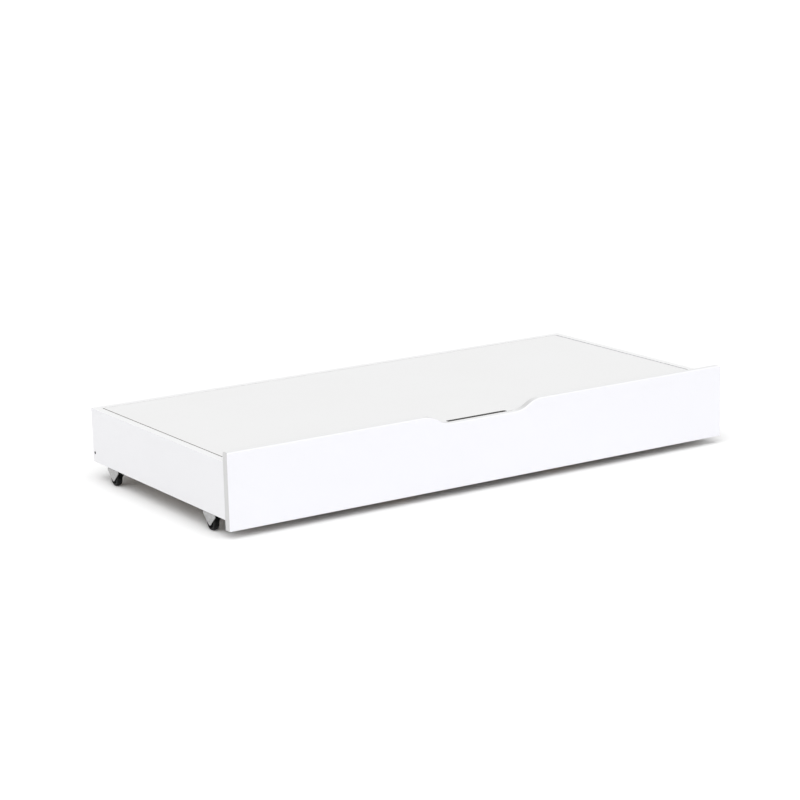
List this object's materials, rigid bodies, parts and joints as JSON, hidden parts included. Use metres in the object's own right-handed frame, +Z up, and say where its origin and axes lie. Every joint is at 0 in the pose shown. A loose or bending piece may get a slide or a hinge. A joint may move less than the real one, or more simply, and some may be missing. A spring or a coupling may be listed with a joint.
{
  "type": "under bed storage box",
  "caption": "Low white storage box with a lift-off lid, a tall front panel with a hand notch, and rigid casters for rolling under a bed.",
  "frame": {"origin": "on the floor, under the middle of the box's bounding box", "axes": "+X along the front panel, -Y towards the front panel, +Z up"},
  "size_m": [1.35, 0.65, 0.1905],
  "materials": {
    "white_board": "satin white lacquer on fibreboard",
    "lid_board": "matt white foil on fibreboard",
    "hardboard": "smooth brown hardboard",
    "pine": "planed pine",
    "beech": "fluted beech dowel",
    "zinc_steel": "bright zinc plate",
    "zinc_cast": "zinc die casting",
    "black_nylon": "moulded black nylon"
  },
  "bodies": {
    "box": {"front_panel": "white_board", "left_side": "white_board", "right_side": "white_board", "back_panel": "white_board", "left_cleat": "white_board", "right_cleat": "white_board", "back_cleat": "white_board", "front_left_cleat": "white_board", "front_right_cleat": "white_board", "bottom_board": "hardboard", "left_batten": "pine", "right_batten": "pine", "front_dowels": "beech", "back_dowels": "beech", "batten_dowels": "beech", "front_left_bracket": "zinc_steel", "front_right_bracket": "zinc_steel", "rear_left_bracket": "zinc_steel", "rear_right_bracket": "zinc_steel", "front_left_axle": "zinc_steel", "front_right_axle": "zinc_steel", "rear_left_axle": "zinc_steel", "rear_right_axle": "zinc_steel", "caster_screws": "zinc_steel", "cam_bolts": "zinc_steel", "corner_screws": "zinc_steel", "cleat_screws": "zinc_steel", "batten_screws": "zinc_steel", "cam_housings": "zinc_cast"},
    "lid": {"lid": "lid_board"},
    "front_left_wheel": {"front_left_wheel": "black_nylon"},
    "front_right_wheel": {"front_right_wheel": "black_nylon"},
    "rear_left_wheel": {"rear_left_wheel": "black_nylon"},
    "rear_right_wheel": {"rear_right_wheel": "black_nylon"}
  },
  "joints": [
    {"name": "lid_lift", "type": "slide", "parent": "box", "child": "lid", "axis": [0, 0, 1], "range_m": [0, 0.25]},
    {"name": "front_left_roll", "type": "hinge", "parent": "box", "child": "front_left_wheel", "pos_m": [-0.66325, -0.23, 0.0175], "axis": [1, 0, 0], "continuous": true},
    {"name": "front_right_roll", "type": "hinge", "parent": "box", "child": "front_right_wheel", "pos_m": [0.66325, -0.23, 0.0175], "axis": [1, 0, 0], "continuous": true},
    {"name": "rear_left_roll", "type": "hinge", "parent": "box", "child": "rear_left_wheel", "pos_m": [-0.66325, 0.23, 0.0175], "axis": [1, 0, 0], "continuous": true},
    {"name": "rear_right_roll", "type": "hinge", "parent": "box", "child": "rear_right_wheel", "pos_m": [0.66325, 0.23, 0.0175], "axis": [1, 0, 0], "continuous": true}
  ]
}
